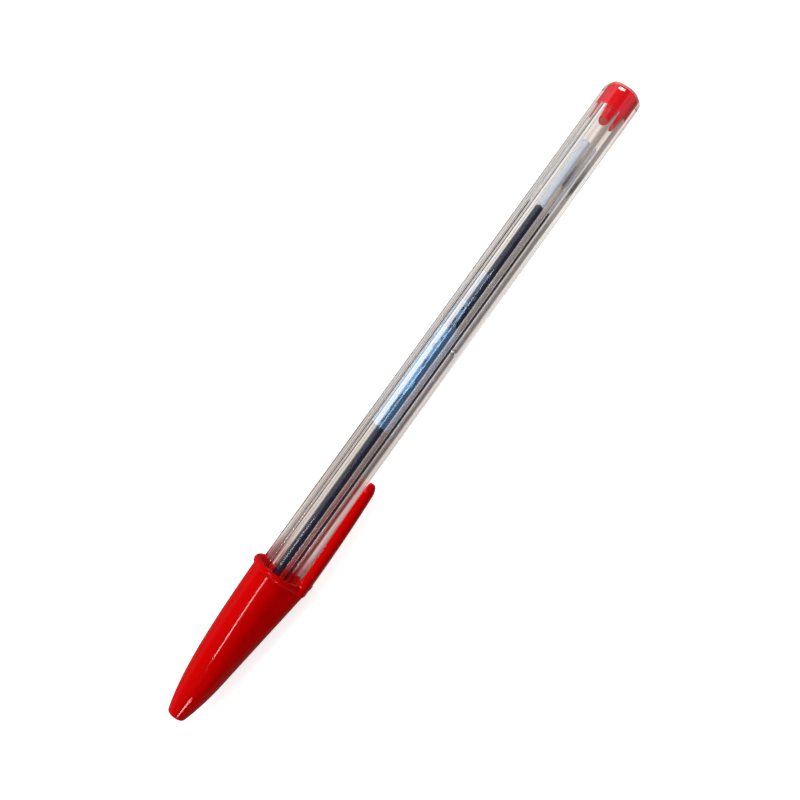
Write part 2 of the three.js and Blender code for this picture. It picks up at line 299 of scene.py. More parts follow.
def smooth(obj):
    """Smooth shading, but for the sharp edges."""
    obj.data.shade_smooth()
    obj.data.set_sharp_from_angle(angle=SHARP)


def revolve(name, outline, closed=False, sides=SIDES):
    """Turned piece from an outline of (x, radius) points."""
    rings = [circle(x, r, sides) if r > 1e-6 else [(x, 0, 0)] for x, r in outline]
    return piece(name, *skin(rings, closed))


def joined(obj, other, operation):
    """Adds or cuts a second closed piece, which is then removed."""
    change = obj.modifiers.new("join", "BOOLEAN")
    change.operation = operation
    change.solver = "EXACT"
    change.object = other
    graph = bpy.context.evaluated_depsgraph_get()
    result = bpy.data.meshes.new_from_object(obj.evaluated_get(graph))
    obj.modifiers.clear()
    obj.data = result
    bpy.data.objects.remove(other)
    smooth(obj)
    return obj


def steps(count):
    """Even steps from 0 to 1, both ends included."""
    return [i / count for i in range(count + 1)]


def line_at(x, start, end):
    """Value at x on the straight line through two (x, value) points."""
    return start[1] + (end[1] - start[1]) * (x - start[0]) / (end[0] - start[0])


def soft_max(a, b, width):
    """Larger of two values, rounded off where they meet."""
    return (a + b + np.sqrt((a - b) ** 2 + width ** 2)) / 2


# Barrel

def hex_angles():
    """Angles round the barrel, close together over its rounded edges."""
    edge = EDGE_HALF_ANGLE
    near = np.linspace(-edge, edge, 2 * ARC_STEPS + 1)
    holds = [-edge - EDGE_HOLD, edge + EDGE_HOLD]
    flat_start = edge + FLAT_MARGIN
    flat_count = round((SECTOR - 2 * flat_start) / FLAT_STEP)
    flat = np.linspace(flat_start, SECTOR - flat_start, flat_count + 1)
    sector = sorted([*near, *holds, *flat])
    return np.array([a + SECTOR * i for i in range(6) for a in sector])


def hex_radius(angle):
    """Distance from the axis to the rounded hexagon, whose corners lie one sector apart."""
    half = SECTOR / 2
    a = abs((angle + half) % SECTOR - half)
    centre = (HALF_FLATS - EDGE_RADIUS) / math.cos(half)
    flat = HALF_FLATS / math.cos(half - a)
    if centre * math.sin(a) >= EDGE_RADIUS:
        return flat
    edge = centre * math.cos(a) + math.sqrt(EDGE_RADIUS ** 2 - (centre * math.sin(a)) ** 2)
    tangent = math.atan2(centre * math.sin(half), HALF_FLATS)
    return edge if half - a > tangent else flat


def end_radius(x):
    """Radius that the barrel's ends are turned down to: a bevel in front, a round at the tail."""
    slope = FRONT_BEVEL_DEPTH / FRONT_BEVEL_LENGTH
    front = CORNER_RADIUS - FRONT_BEVEL_DEPTH + (x - BARREL_FRONT) * slope
    into = x + TAIL_EDGE_RADIUS
    tail = CORNER_RADIUS - into
    if into > 0:
        rise = math.sqrt(max(0, TAIL_EDGE_RADIUS ** 2 - into ** 2))
        tail = CORNER_RADIUS - TAIL_EDGE_RADIUS + rise
    return min(front, tail)


def barrel():
    """Clear shell with its bore and vent hole. Its rings are close where its form changes."""
    angles = hex_angles()
    sides = np.array([hex_radius(a) for a in angles])

    def ring(x, radii):
        return list(zip(np.full(len(angles), x), radii * np.cos(angles), radii * np.sin(angles)))

    front = [BARREL_FRONT + d for d in np.linspace(0, 2 * FRONT_BEVEL_LENGTH, BEVEL_RINGS)]
    vent = [VENT_X + d for d in np.linspace(-VENT_REACH, VENT_REACH, VENT_RINGS)]
    middle = np.linspace(front[-1] + RING_STEP, VENT_X - RING_STEP, PLAIN_RINGS).tolist() + vent
    middle += np.linspace(VENT_X + RING_STEP, -4 * TAIL_EDGE_RADIUS, PLAIN_RINGS).tolist()
    quarter = np.linspace(0, math.pi / 2, TAIL_ROUND_RINGS)[1:]
    tail = [-2 * TAIL_EDGE_RADIUS * (1 - t) for t in np.linspace(0, 0.5, TAIL_RINGS)]
    tail += [-TAIL_EDGE_RADIUS * (1 - math.sin(a)) for a in quarter]
    outer = [ring(x, -soft_max(-sides, -end_radius(x), END_SHAVE)) for x in front + middle + tail]
    bore = fillet_line([
        (0, CORNER_RADIUS - TAIL_EDGE_RADIUS - END_FACE_STEP, 0),
        (0, BORE_RADIUS, SMALL_EDGE),
        (BARREL_FRONT, BORE_RADIUS, SMALL_EDGE),
        (BARREL_FRONT, CORNER_RADIUS - FRONT_BEVEL_DEPTH - END_FACE_STEP, 0),
    ])
    split = len(bore) // 2
    stations = [(x, BORE_RADIUS) for x in reversed(middle)]
    inner = [ring(x, np.full(len(angles), r)) for x, r in bore[:split] + stations + bore[split:]]
    obj = piece("barrel_shell", *skin(outer + inner, closed=True))
    drill = revolve("vent_drill", [
        (0, 0),
        (0, VENT_RADIUS),
        (CORNER_RADIUS, VENT_RADIUS),
        (CORNER_RADIUS, 0),
    ], sides=DRILL_SIDES)
    turn = Matrix.Rotation(VENT_ANGLE, 4, "X") @ Matrix.Rotation(math.pi / 2, 4, "Z")
    drill.data.transform(Matrix.Translation((VENT_X * MM, 0, 0)) @ turn)
    return joined(obj, drill, "DIFFERENCE")


# Plug, tube and ink

def leaned(obj):
    """Moves tube or ink sideways, by more the nearer to the tail, as a loose tube lies."""
    for vertex in obj.data.vertices:
        vertex.co.y += TUBE_LEAN * MM * line_at(vertex.co.x / MM, (tube_low.x, 0), (tube_high.x, 1))
    return obj


def plug():
    """Plug with its tapered stem. Its sides touch the bore, as pressed plastic does."""
    side = BORE_RADIUS + WETTING
    return revolve("tail_plug", fillet_line([
        (plug_low.x, 0, 0),
        (plug_low.x, STEM_TIP_RADIUS, STEM_EDGE),
        (-PLUG_LENGTH, STEM_BASE_RADIUS, SMALL_EDGE),
        (-PLUG_LENGTH, side - PLUG_CHAMFER, SMALL_EDGE),
        (-PLUG_LENGTH + PLUG_CHAMFER, side, SOFT_EDGE),
        (0, side, SMALL_EDGE),
        (0, 0, 0),
    ]))


def tube():
    """Open tube with rounded edges."""
    return leaned(revolve("ink_tube", fillet_line([
        (tube_low.x, TUBE_BORE_RADIUS, TUBE_EDGE),
        (tube_low.x, TUBE_RADIUS, TUBE_EDGE),
        (tube_high.x, TUBE_RADIUS, TUBE_EDGE),
        (tube_high.x, TUBE_BORE_RADIUS, TUBE_EDGE),
    ], closed=True), closed=True))


def ink():
    """Ink from the ball's socket through point and holder to its curved end in the tube."""
    column = TUBE_BORE_RADIUS + WETTING
    front = tube_low.x + STOP_GAP
    feed_start = point_low.x + FEED_DEPTH + STOP_GAP
    feed_end = point_high.x + STOP_GAP
    return leaned(revolve("ink", fillet_line([
        (ink_low.x, 0, 0),
        (ink_low.x, CHANNEL_RADIUS - PRESS_GAP, 0),
        (feed_start, CHANNEL_RADIUS - PRESS_GAP, 0),
        (feed_start, FEED_RADIUS - PRESS_GAP, 0),
        (feed_end, FEED_RADIUS - PRESS_GAP, 0),
        (feed_end, HOLDER_CHANNEL_RADIUS - PRESS_GAP, 0),
        (front, HOLDER_CHANNEL_RADIUS - PRESS_GAP, 0),
        (front, column, 0),
        (ink_high.x, column, MENISCUS),
        (ink_high.x, 0, 0),
    ])))


# Tip holder, writing point and ball

def holder():
    """Nose and sleeve in one turned piece, with bores for the point's shank and for the tube."""
    shank_bore = SHANK_RADIUS + PRESS_GAP
    shank_end = point_high.x + STOP_GAP
    tube_socket = TUBE_RADIUS + PRESS_GAP
    tube_stop = tube_low.x - STOP_GAP
    return revolve("nose_and_sleeve", fillet_line([
        (holder_low.x, shank_bore, CRISP_EDGE),
        (holder_low.x, NOSE_FRONT_RADIUS, NOSE_FRONT_EDGE),
        (NOSE_BACK - NOSE_COLLAR_LENGTH, NOSE_COLLAR_RADIUS, NOSE_COLLAR_EDGE),
        (NOSE_BACK, NOSE_COLLAR_RADIUS, SOFT_EDGE),
        (NOSE_BACK, SLEEVE_RADIUS, CRISP_EDGE),
        (holder_high.x - SLEEVE_CHAMFER, SLEEVE_RADIUS, SOFT_EDGE),
        (holder_high.x, SLEEVE_RADIUS - SLEEVE_CHAMFER, FINE_EDGE),
        (holder_high.x, tube_socket, FINE_EDGE),
        (tube_stop, tube_socket, CRISP_EDGE),
        (tube_stop, HOLDER_CHANNEL_RADIUS, CRISP_EDGE),
        (shank_end, HOLDER_CHANNEL_RADIUS, 0),
        (shank_end, shank_bore, 0),
    ], closed=True), closed=True)


def point():
    """Cone with a groove and a collar, the shank behind it, and the socket that holds the ball."""
    base = point_high.x - SHANK_LENGTH
    collar = base - POINT_COLLAR_LENGTH
    groove = collar - POINT_GROOVE_START
    groove_radius = line_at(groove, (point_low.x, POINT_LIP_RADIUS), (collar, POINT_BASE_RADIUS))
    feed = point_low.x + FEED_DEPTH
    lip = math.sqrt(SOCKET_RADIUS ** 2 - (BALL_X - point_low.x) ** 2)
    lip_angle = math.atan2(lip, point_low.x - BALL_X)
    back_angle = math.asin(CHANNEL_RADIUS / SOCKET_RADIUS)
    socket = [(BALL_X + SOCKET_RADIUS * math.cos(a), SOCKET_RADIUS * math.sin(a))
              for a in np.linspace(back_angle, lip_angle, SOCKET_POINTS)]
    body = fillet_line([
        (point_low.x, POINT_LIP_RADIUS, 0),
        (groove, groove_radius, POINT_GROOVE_ROUND),
        (collar - POINT_GROOVE_END, POINT_BASE_RADIUS - POINT_GROOVE_DEPTH, FINE_EDGE),
        (collar, POINT_BASE_RADIUS, FINE_EDGE),
        (base, POINT_BASE_RADIUS, FINE_EDGE),
        (base, SHANK_RADIUS, KEEN_EDGE),
        (point_high.x, SHANK_RADIUS, SMALL_EDGE),
        (point_high.x, FEED_RADIUS, CRISP_EDGE),
        (feed, FEED_RADIUS, 0),
        (feed, CHANNEL_RADIUS, 0),
    ])
    return revolve("metal_point", body + socket, closed=True, sides=SMALL_SIDES)


def ball():
    """Ball that closes in a pole at both ends."""
    arc = [(BALL_X - BALL_RADIUS * math.cos(a), BALL_RADIUS * math.sin(a))
           for a in np.linspace(0, math.pi, BALL_POINTS)]
    arc[0] = (arc[0][0], 0)
    arc[-1] = (arc[-1][0], 0)
    return revolve("point_ball", arc, sides=SMALL_SIDES)


# Cap

def cap_radius(from_tip):
    """Outer radius of the cap's round body at a distance from its tip."""
    drop = OGIVE_DROP * math.exp(-from_tip / OGIVE_LENGTH)
    return CAP_MOUTH_RADIUS - CAP_TAPER * (CAP_LENGTH - from_tip) - drop


def keel_reach(from_tip):
    """Reach of the body on the clip side, in a straight line from the keel's start to the clip."""
    start = CAP_LENGTH - KEEL_LENGTH
    if from_tip < start:
        return cap_radius(from_tip) + KEEL_RISE
    return line_at(from_tip, (start, cap_radius(start) + KEEL_RISE), (CAP_LENGTH, CLIP_ROOT_RADIUS))


def keel_nose(from_tip):
    """Radius of the keel's crest, which narrows from the body's own round towards the clip."""
    start = CAP_LENGTH - KEEL_LENGTH
    if from_tip < start:
        return cap_radius(from_tip)
    return line_at(from_tip, (start, cap_radius(start)), (CAP_LENGTH, KEEL_NOSE_RADIUS))


def keel_ring(x, radius, reach, nose_radius):
    """Circle joined by tangents to the smaller round of the keel, with evenly spaced points."""
    nose = min(nose_radius, radius)
    offset = reach - nose
    angles = np.linspace(0, 2 * math.pi, KEEL_SAMPLES)
    on_keel = -offset * np.cos(angles) + nose > radius + 1e-9
    y = np.where(on_keel, -offset + nose * np.cos(angles), radius * np.cos(angles))
    z = np.where(on_keel, nose * np.sin(angles), radius * np.sin(angles))
    along = np.concatenate([[0], np.cumsum(np.hypot(np.diff(y), np.diff(z)))])
    at = np.linspace(0, along[-1], CAP_SIDES + 1)[:-1]
    return list(zip(np.full(CAP_SIDES, x), np.interp(at, along, y), np.interp(at, along, z)))


def lip_rise(from_tip):
    """Height of the rounded lip over the body, from 0 to 1, with a soft foot behind it."""
    u = (from_tip - (CAP_LENGTH - LIP_WIDTH / 2)) / (LIP_WIDTH / 2)
    if from_tip >= CAP_LENGTH - LIP_WIDTH / 2:
        return math.sqrt(max(0, 1 - u ** 2))
    round_part = math.sqrt(1 - u ** 2) if u > -1 else (u + 1) * LIP_FALL
    return max(0, float(soft_max(0, round_part, LIP_BLEND)) - LIP_BLEND / 2)


def cap_shell():
    """Hollow body of the cap, from its rounded tip over the lip and back down its inside."""
    tip = [(CAP_TIP_EDGE * (1 - math.sin(a)), CAP_TIP_EDGE * (1 - math.cos(a)))
           for a in np.linspace(math.pi / 2, 0, TIP_RINGS)]
    lip_start = CAP_LENGTH - LIP_WIDTH - LIP_FOOT
    body = [CAP_TIP_EDGE + (lip_start - CAP_TIP_EDGE) * t for t in steps(BODY_RINGS)[1:]]
    lip_side = [lip_start + LIP_FOOT * t for t in steps(LIP_FOOT_RINGS)[1:]]
    lip = [CAP_LENGTH - LIP_WIDTH / 2 * (1 - math.sin(a))
           for a in np.linspace(-math.pi / 2, math.pi / 2, LIP_RINGS)[1:]]
    rings = []
    for s, drop in tip + [(s, 0) for s in body + lip_side + lip]:
        rise = lip_rise(s)
        radius = cap_radius(s) - drop + LIP_HEIGHT * rise
        rings.append(keel_ring(CAP_TIP + s, radius, keel_reach(s) - drop, keel_nose(s)))
    cavity_end = CAP_TIP + CAP_END_WALL
    seat = BARREL_FRONT + CAP_SEAT_START

    def wall(x):
        return cap_radius(x - CAP_TIP) - CAP_NOSE_WALL

    first = cavity_end + CAP_CAVITY_EDGE
    nose_side = [(x, wall(x), 0) for x in (seat + (first - seat) * t for t in steps(NOSE_RINGS)[1:-1])]
    inside = fillet_line([
        (CAP_MOUTH, CAP_MOUTH_RADIUS - MOUTH_FACE_STEP, 0),
        (CAP_MOUTH, CAP_MOUTH_INNER, MOUTH_EDGE),
        (CAP_MOUTH - LIP_WIDTH / 2, CAP_MOUTH_INNER, 0),
        (CAP_MOUTH - MOUTH_FLARE_LENGTH, CAP_SEAT_RADIUS, 0),
        (seat + CAP_SEAT_RAMP, CAP_SEAT_RADIUS, 0),
        (seat, wall(seat), 0),
        *nose_side,
        (cavity_end, wall(first), CAP_CAVITY_EDGE),
        (cavity_end, CAP_VENT_RADIUS, SOFT_EDGE),
        (CAP_TIP + CAP_VENT_FLARE, CAP_VENT_RADIUS, CAP_VENT_EDGE),
        (CAP_TIP, CAP_VENT_RADIUS + CAP_VENT_FLARE, 0),
    ])
    rings += [circle(x, r, CAP_SIDES) for x, r in inside]
    return piece("cap_shell", *skin(rings, closed=True))


def clip_ring(x, inner, outer, width):
    """Section of the clip: large rounds outside, small rounds against the barrel."""
    half = width / 2
    room = min(half, outer - inner)
    big = min(CLIP_OUTER_EDGE, room * CLIP_OUTER_EDGE_SHARE)
    small = min(CLIP_INNER_EDGE, room * CLIP_INNER_EDGE_SHARE)
    corners = [
        (-inner - small, half - small, small, 0),
        (-outer + big, half - big, big, 90),
        (-outer + big, -half + big, big, 180),
        (-inner - small, -half + small, small, 270),
    ]
    ring = []
    for i, (y, z, size, start) in enumerate(corners):
        arc = [math.radians(start + 90 * t) for t in steps(ARC_STEPS)]
        ring += [(x, y + size * math.cos(a), z + size * math.sin(a)) for a in arc]
        y2, z2, size2, start2 = corners[(i + 1) % 4]
        a2 = math.radians(start2)
        here = np.array(ring[-1])
        there = np.array((x, y2 + size2 * math.cos(a2), z2 + size2 * math.sin(a2)))
        ring += [tuple(here + (there - here) * t) for t in CLIP_SIDE_STEPS]
    return ring


def clip():
    """Clip from inside the lip to its rounded end, with its ridge at the mouth."""
    ridge_end = CLIP_RIDGE_FROM_MOUTH + CLIP_RIDGE_WIDTH / 2
    round_start = CLIP_LENGTH - CLIP_END_ROUND
    ridge = [ridge_end - CLIP_RIDGE_WIDTH * (1 + math.cos(t * math.pi)) / 2
             for t in steps(CLIP_RIDGE_RINGS)]
    straight = [ridge_end + (round_start - ridge_end) * t for t in steps(CLIP_RINGS)[1:]]
    rounded = [CLIP_LENGTH - CLIP_END_ROUND * (1 - math.sin(t * math.pi / 2))
               for t in steps(CLIP_END_RINGS)[1:]]
    rings = []
    for d in [-LIP_WIDTH, -LIP_WIDTH / 2, *ridge, *straight, *rounded]:
        t = max(0, d) / CLIP_LENGTH
        turn = max(0, (d - CLIP_LENGTH + CLIP_END_ROUND) / CLIP_END_ROUND)
        close = 1 - math.sqrt(max(0, 1 - turn ** 2))
        inner = line_at(t, (0, CAP_MOUTH_INNER + JOIN_OVERLAP), (1, CORNER_RADIUS + CLIP_GAP))
        inner += CLIP_END_INNER_ROUND * close
        across = min(1, abs(d - CLIP_RIDGE_FROM_MOUTH) / (CLIP_RIDGE_WIDTH / 2))
        rise = CLIP_RIDGE_HEIGHT * math.sqrt(1 - across ** 2)
        outer = CLIP_ROOT_RADIUS - CLIP_END_DROP * t ** CLIP_BOW - CLIP_END_OUTER_ROUND * close + rise
        width = line_at(t, (0, CLIP_ROOT_WIDTH), (1, CLIP_END_WIDTH))
        width *= 1 - CLIP_END_NARROWING * close
        rings.append(clip_ring(CAP_MOUTH + d, inner, outer, width + 2 * rise))
    ends = [[tuple(np.mean(ring, axis=0))] for ring in (rings[0], rings[-1])]
    return piece("clip", *skin([ends[0], *rings, ends[1]]))


def cap():
    """Shell and clip as one moulding."""
    return joined(cap_shell(), clip(), "UNION")


# Materials

def material(name):
    """New material with its node tree and its shader."""
    mat = bpy.data.materials.new(name)
    mat.use_nodes = True
    tree = mat.node_tree
    shader = tree.nodes["Principled BSDF"]
    return mat, tree, shader


def feed(tree, socket, value):
    """Gives an input a value or another node's output."""
    if isinstance(value, bpy.types.NodeSocket):
        tree.links.new(value, socket)
    else:
        socket.default_value = value


def node(tree, kind, settings=None, **inputs):
    """New node with its settings and its inputs, which are named, or numbered as in i0."""
    made = tree.nodes.new(kind)
    for key, value in (settings or {}).items():
        setattr(made, key, value)
    for key, value in inputs.items():
        numbered = key[0] == "i" and key[1:].isdigit()
        feed(tree, made.inputs[int(key[1:]) if numbered else key.replace("_", " ")], value)
    return made


def own_place(tree):
    """Place on the piece in metres, from the middle of the tail."""
    return node(tree, "ShaderNodeTexCoord").outputs["Object"]


def parts(tree, vector):
    """Parts of a vector along X, Y and Z."""
    return node(tree, "ShaderNodeSeparateXYZ", Vector=vector).outputs


def noise(tree, scale, stretch=(1, 1, 1), detail=3.0, roughness=0.5):
    """Noise in the piece's own space, in cycles per metre, drawn out where the stretch is small."""
    mapping = node(tree, "ShaderNodeMapping", Vector=own_place(tree), Scale=stretch)
    return node(tree, "ShaderNodeTexNoise", Vector=mapping.outputs["Vector"], Scale=scale,
                Detail=detail, Roughness=roughness).outputs["Fac"]


def ramp(tree, fac, low, high, start=0.3, end=0.7, kind="LINEAR"):
    """Value that goes from low to high as the input goes from start to end."""
    return node(tree, "ShaderNodeMapRange", {"interpolation_type": kind},
                i0=fac, i1=start, i2=end, i3=low, i4=high).outputs[0]


def fade(tree, place, low, high, start, end, kind="LINEAR"):
    """Ramp along one part of the place, whose start and end are millimetres."""
    return ramp(tree, place, low, high, start * MM, end * MM, kind)


def product(tree, first, second):
    """Two values multiplied."""
    return node(tree, "ShaderNodeMath", {"operation": "MULTIPLY"}, i0=first, i1=second).outputs[0]


def by_ray(tree, lighting, glossy, clear, direct):
    """Value by the kind of ray: one that only lights, one off gloss, one through clear plastic, or
    one that comes direct to the eye."""
    is_ray = node(tree, "ShaderNodeLightPath").outputs
    value = ramp(tree, is_ray["Is Glossy Ray"], lighting, glossy, 0, 1)
    value = ramp(tree, is_ray["Is Transmission Ray"], value, clear, 0, 1)
    return ramp(tree, is_ray["Is Camera Ray"], value, direct, 0, 1)


def blend(tree, fac, first, second):
    """Colour between two colours, each a value or another node's output."""
    first, second = (colour if isinstance(colour, bpy.types.NodeSocket) else (*colour, 1)
                     for colour in (first, second))
    return node(tree, "ShaderNodeMix", {"data_type": "RGBA"}, i0=fac, i6=first, i7=second).outputs[2]


def bump(tree, height, distance, strength):
    """Normal of a surface with fine relief, whose depth is in metres."""
    return node(tree, "ShaderNodeBump", Height=height, Distance=distance,
                Strength=strength).outputs["Normal"]


# Colours, each a darker and a lighter one with noise between them
CAP_RED = ((0.52, 0.0, 0.0), (0.59, 0.0, 0.0))
PLUG_RED = ((0.68, 0.0, 0.001), (0.78, 0.0, 0.004))
AIR_FILM_REFLECTION_RED = ((0.64, 0.003, 0.008), (0.84, 0.06, 0.075))
CLEAR = ((0.93, 0.905, 0.87), (0.97, 0.955, 0.935))
REFRACTION_EDGE_LINES = ((0.4, 0.38, 0.38), (0.97, 0.96, 0.95))
TUBE_WHITE = ((0.84, 0.88, 0.95), (0.90, 0.93, 0.98))
INK_BLUE = ((0.004, 0.008, 0.03), (0.008, 0.017, 0.06))
HOLDER_WHITE = ((0.74, 0.73, 0.69), (0.83, 0.82, 0.79))
BRASS = ((0.60, 0.42, 0.17), (0.78, 0.60, 0.30))
STEEL = ((0.55, 0.57, 0.60), (0.66, 0.68, 0.71))

# Painted red glow on the cap's inside near its mouth, standing in for the light that its thin wall
# lets through, by distances behind the mouth
INSIDE_GLOW = 0.3
INSIDE_GLOW_COLOUR = (0.9, 0.01, 0.01, 1)
INSIDE_GLOW_FROM = 6
INSIDE_GLOW_FULL = 3
INSIDE_GLOW_SKIN = 0.1

# Painted light and shade on the plug: a glow for the light gathered on the clip's side, a paler
# painted reflection where a film of air parts it from the barrel, and painted shade on the stem's end
GATHERED_GLOW = 0.2
GATHERED_COLOUR = (1.0, 0.03, 0.06, 1)
GATHERED_FROM_Y = -1.4
AIR_FILM_REFLECTION_FROM = 1.15
AIR_FILM_REFLECTION_SOFT = 0.15
STEM_END_SHADE = (0.6, 0.0, 0.0)
STEM_END_FROM = 0.02
STEM_END_TO = 0.06

# Marks of the barrel: painted dark and pale lines along its edge on the clip's side, standing in for
# lines that refraction draws there, a painted reflection of the clip's red with its shade, and the end
# face
EDGE_LINES_FROM = 0.9
EDGE_LINES_TO = 1.4
CLIP_REFLECTION_SHADE = (0.44, 0.2, 0.21)
CLIP_REFLECTION_SHADE_SHARE = 0.75
CLIP_REFLECTION_SHADE_SOFT = 1.5
END_FACE_CLEAR = 0.45
END_FACE_FROM = -0.12
END_FACE_TO = -0.02
WAVES_DEPTH = 1.4e-5
WAVES_LEFT = 0.05
WAVES_FROM = -12
WAVES_TO = -6
CLEAR_IOR = 1.58
CLEAR_TINT = (0.76, 0.74, 0.72)

# The tube's milkiness past the ink's end
MILKY_CLEAR = 0.7
MILKY_SOFT = 0.3
TUBE_IOR = 1.49
TUBE_TINT = (0.9, 0.92, 0.95)


def red_plastic(name, colours):
    """Glossy moulded red with faint flow marks, fine scratches and a little light in its depth."""
    mat, tree, shader = material(name)
    flow = noise(tree, 160, (0.4, 1, 1), detail=4)
    scratch = noise(tree, 900, (0.06, 1, 1), detail=5, roughness=0.7)
    tree.links.new(blend(tree, flow, *colours), shader.inputs["Base Color"])
    tree.links.new(ramp(tree, scratch, 0.04, 0.1), shader.inputs["Roughness"])
    tree.links.new(bump(tree, flow, 2e-6, 0.3), shader.inputs["Normal"])
    shader.inputs["Specular IOR Level"].default_value = 0.28
    shader.inputs["Subsurface Weight"].default_value = 0.35
    shader.inputs["Subsurface Radius"].default_value = (1.0, 0.05, 0.05)
    shader.inputs["Subsurface Scale"].default_value = 0.0016
    return mat, tree, shader


def cap_plastic():
    """Red plastic of the cap, with a painted red glow on its inside near its mouth, standing in for
    the light that its thin wall lets through.
    """
    mat, tree, shader = red_plastic("red_moulded_plastic", CAP_RED)
    place = own_place(tree)
    across = node(tree, "ShaderNodeVectorMath", {"operation": "MULTIPLY"}, i0=place, i1=(0, 1, 1))
    radius = node(tree, "ShaderNodeVectorMath", {"operation": "LENGTH"}, i0=across.outputs[0])
    inside = fade(tree, radius.outputs["Value"], INSIDE_GLOW, 0,
                  CAP_MOUTH_INNER, CAP_MOUTH_INNER + INSIDE_GLOW_SKIN)
    near_mouth = fade(tree, parts(tree, place)["X"], 0, 1,
                      CAP_MOUTH - INSIDE_GLOW_FROM, CAP_MOUTH - INSIDE_GLOW_FULL)
    # painted glow: the cap's inside near its mouth shines red, though no lamp is there
    shader.inputs["Emission Color"].default_value = INSIDE_GLOW_COLOUR
    tree.links.new(product(tree, inside, near_mouth), shader.inputs["Emission Strength"])
    return mat


def plug_plastic():
    """Brighter red, with a paler painted reflection at its sides, where a film of air parts it from
    the barrel, and painted shade on its stem's end. A painted glow on its clip side stands in for the
    light that the clear barrel round it gathers."""
    mat, tree, shader = red_plastic("bright_red_plastic", PLUG_RED)
    middle = shader.inputs["Base Color"].links[0].from_socket
    at = parts(tree, own_place(tree))
    off = node(tree, "ShaderNodeMath", {"operation": "ABSOLUTE"}, i0=at["Y"]).outputs[0]
    # painted reflection: the sides turn paler where a film of air would reflect light
    film = noise(tree, 900, (0.05, 1, 1), detail=3)
    pale = blend(tree, film, *AIR_FILM_REFLECTION_RED)
    at_side = fade(tree, off, 0, 1, AIR_FILM_REFLECTION_FROM, AIR_FILM_REFLECTION_FROM + AIR_FILM_REFLECTION_SOFT)
    sides = blend(tree, at_side, middle, pale)
    # painted shade: the stem's end is darker, as it faces away from the light
    stem_end_shade = fade(tree, at["X"], 1, 0, plug_low.x + STEM_END_FROM, plug_low.x + STEM_END_TO)
    tree.links.new(blend(tree, stem_end_shade, sides, STEM_END_SHADE), shader.inputs["Base Color"])
    # painted glow on the clip's side, standing in for light gathered by the barrel
    shader.inputs["Emission Color"].default_value = GATHERED_COLOUR
    gathered = fade(tree, at["Y"], GATHERED_GLOW, 0, GATHERED_FROM_Y, 0)
    tree.links.new(gathered, shader.inputs["Emission Strength"])
    return mat


def clear_plastic():
    """Clear moulded plastic with lengthwise draw lines and shallow waves. Its edge on the clip's side
    has painted dark and pale lines, standing in for refraction lines, and a painted reflection of the
    clip's red with its shade, and its end face is a little milky."""
    mat, tree, shader = material("clear_moulded_plastic")
    at = parts(tree, own_place(tree))
    drawn = noise(tree, 300, (0.02, 1, 1), detail=1)
    colour = blend(tree, drawn, *CLEAR)
    # painted refraction lines: dark and pale streaks along the edge on the clip's side
    fine = ramp(tree, noise(tree, 2600, (0.002, 1, 1), detail=0), 0, 1, 0.42, 0.58)
    edge = fade(tree, at["Y"], 1, 0, EDGE_LINES_FROM - CORNER_RADIUS, EDGE_LINES_TO - CORNER_RADIUS)
    colour = blend(tree, edge, colour, blend(tree, fine, *REFRACTION_EDGE_LINES))
    # painted reflection and shade of the clip in the barrel's edge beside it
    to_clip_end = fade(tree, at["X"], CLIP_REFLECTION_SHADE_SHARE, 0, CLIP_END - CLIP_REFLECTION_SHADE_SOFT, CLIP_END)
    clip_reflection_mask = product(tree, edge, to_clip_end)
    tree.links.new(blend(tree, clip_reflection_mask, colour, CLIP_REFLECTION_SHADE), shader.inputs["Base Color"])
    shader.inputs["Roughness"].default_value = 0.0
    clearness = fade(tree, at["X"], 1, END_FACE_CLEAR, END_FACE_FROM, END_FACE_TO)
    tree.links.new(clearness, shader.inputs["Transmission Weight"])
    shader.inputs["IOR"].default_value = CLEAR_IOR
    wave = noise(tree, 300, (0.6, 1, 1), detail=2)
    calm = fade(tree, at["X"], 1, WAVES_LEFT, WAVES_FROM, WAVES_TO)
    tree.links.new(bump(tree, wave, WAVES_DEPTH, calm), shader.inputs["Normal"])
    pass_lamps(tree, shader, CLEAR_TINT)
    return mat


def pass_lamps(tree, shader, tint):
    """Lets lamp rays straight through a clear material, with a tint at each face."""
    is_ray = node(tree, "ShaderNodeLightPath").outputs
    clear = node(tree, "ShaderNodeBsdfTransparent", Color=(*tint, 1))
    mix = node(tree, "ShaderNodeMixShader", i0=is_ray["Is Shadow Ray"],
               i1=shader.outputs[0], i2=clear.outputs[0])
    tree.links.new(mix.outputs[0], tree.nodes["Material Output"].inputs["Surface"])


def tube_plastic():
    """Pale translucent tube, clear where ink wets its bore and milky past the ink's end."""
    mat, tree, shader = material("milky_tube_plastic")
    cloud = noise(tree, 700, (0.15, 1, 1), detail=4)
    x = parts(tree, own_place(tree))["X"]
    clearness = fade(tree, x, 1.0, MILKY_CLEAR, ink_high.x - MILKY_SOFT, ink_high.x + MILKY_SOFT)
    tree.links.new(clearness, shader.inputs["Transmission Weight"])
    tree.links.new(blend(tree, cloud, *TUBE_WHITE), shader.inputs["Base Color"])
    tree.links.new(ramp(tree, cloud, 0.0, 0.02), shader.inputs["Roughness"])
    shader.inputs["IOR"].default_value = TUBE_IOR
    pass_lamps(tree, shader, TUBE_TINT)
    return mat


def ink_liquid():
    """Thick blue-black ink against the tube's wall."""
    mat, tree, shader = material("blue_black_ink")
    bands = noise(tree, 900, (1, 0.15, 0.15), detail=3)
    tree.links.new(blend(tree, bands, *INK_BLUE), shader.inputs["Base Color"])
    tree.links.new(ramp(tree, bands, 0.04, 0.08), shader.inputs["Roughness"])
    return mat


